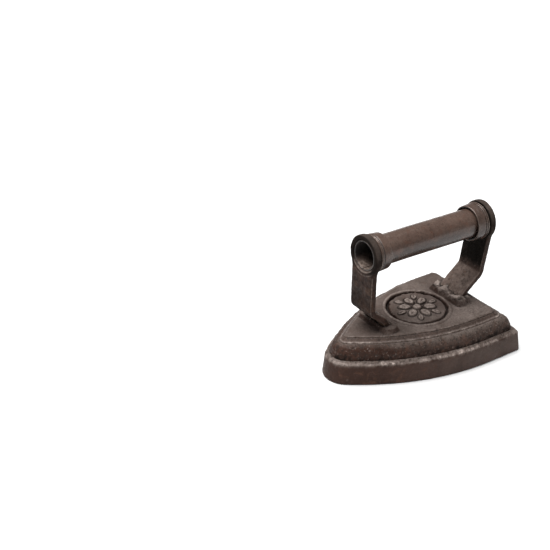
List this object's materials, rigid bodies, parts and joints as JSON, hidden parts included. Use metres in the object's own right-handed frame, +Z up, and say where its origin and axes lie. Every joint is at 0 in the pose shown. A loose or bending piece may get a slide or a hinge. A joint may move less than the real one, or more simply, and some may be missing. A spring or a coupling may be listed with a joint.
{
  "type": "sad iron",
  "caption": "Antique solid cast sad iron with a pointed sole, a stepped top with a round medallion, and a tubular grip on bent strap posts.",
  "frame": {"origin": "on the plane of the sole, under the middle of the object's bounding box", "axes": "+Z up from the sole, the pointed nose towards -Y, the straight heel towards +Y, +X to the left of someone looking from the heel to the nose"},
  "size_m": [0.1078, 0.157, 0.1176],
  "materials": {
    "cast_iron": "aged sand-cast iron, browned and pitted, worn paler on the raised edges",
    "forged_iron": "nearly black hand-worn wrought bar with a fine rough scale",
    "sheet_iron": "smooth red-brown oxidised sheet iron, polished by handling"
  },
  "bodies": {
    "root": {"body_casting": "cast_iron", "front_post": "forged_iron", "rear_post": "forged_iron", "grip_tube": "sheet_iron", "front_ferrule": "sheet_iron", "rear_ferrule": "sheet_iron"}
  },
  "joints": []
}
